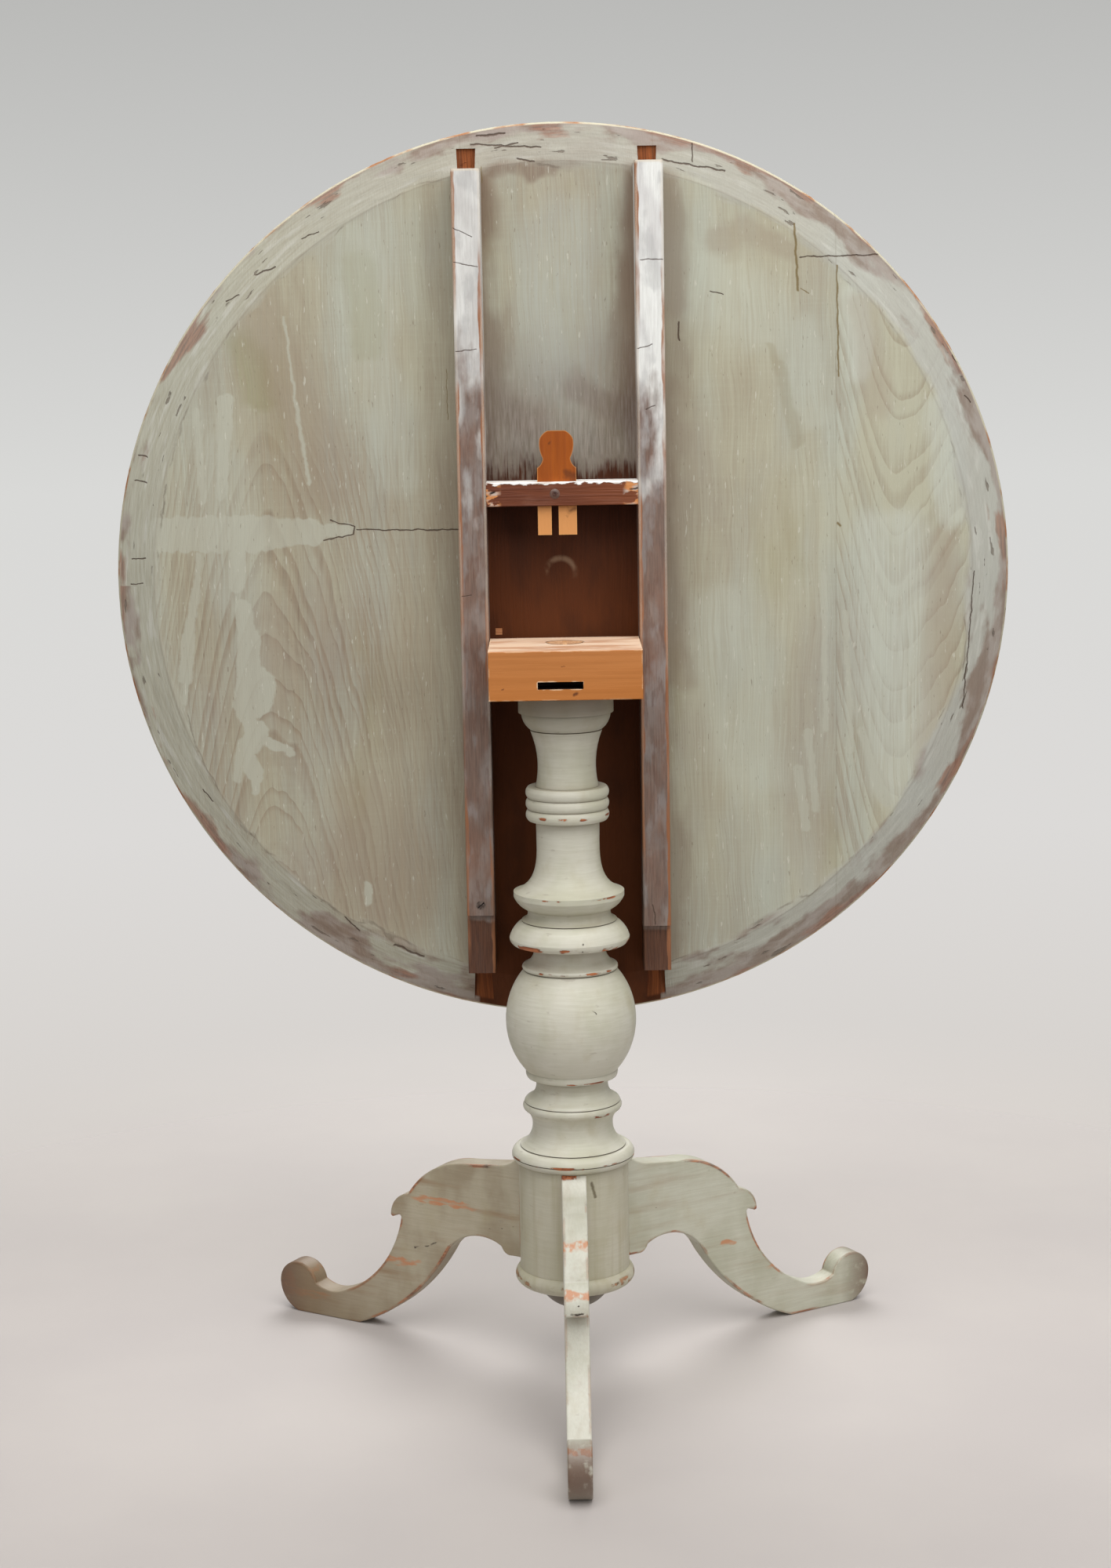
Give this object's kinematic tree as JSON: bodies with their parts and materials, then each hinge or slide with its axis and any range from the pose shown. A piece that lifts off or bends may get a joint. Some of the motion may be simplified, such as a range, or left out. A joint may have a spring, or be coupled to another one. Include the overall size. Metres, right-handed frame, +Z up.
{
  "type": "tilt top table",
  "caption": "Round tilt top table: boarded top hinged on a block over a turned pillar with scroll-toed legs; a sliding wooden latch holds the top level.",
  "frame": {"origin": "on the floor, at the middle of the bounding box with the top tipped upright", "axes": "+Z up, -Y towards the front leg and the underside of the upright top, +X to the right seen from the front"},
  "size_m": [0.8998, 0.5552, 1.2489],
  "materials": {
    "turned_paint": "thin grey-green paint, worn at the edges",
    "board_paint": "thin grey-green wash over visible grain",
    "batten_paint": "whitish paint, worn to brown wood",
    "bare_pine": "bare, aged",
    "stained_pine": "stained, worn",
    "iron": "dark, hand-worn"
  },
  "bodies": {
    "base": {"pillar": "turned_paint", "tenon_wedge": "bare_pine", "pivot_block": "bare_pine", "leg_front": "turned_paint", "leg_rear_left": "turned_paint", "leg_rear_right": "turned_paint"},
    "top": {"board_left": "board_paint", "board_middle": "board_paint", "board_right": "board_paint", "board_outer_right": "board_paint", "board_dowels": "bare_pine", "batten_left": "batten_paint", "batten_right": "batten_paint", "batten_screw": "iron", "pivot_pin_left": "bare_pine", "pivot_pin_right": "bare_pine", "latch_rail": "stained_pine", "latch_nail": "iron", "underside_plug": "bare_pine"},
    "latch": {"latch": "bare_pine"}
  },
  "joints": [
    {"name": "top_tilt", "type": "hinge", "parent": "base", "child": "top", "pos_m": [0, 0.13263, 0.72], "axis": [1, 0, 0], "range_deg": [0, 90]},
    {"name": "latch_slide", "type": "slide", "parent": "top", "child": "latch", "axis": [0, 0, -1], "range_m": [-0.018, 0.026]}
  ]
}
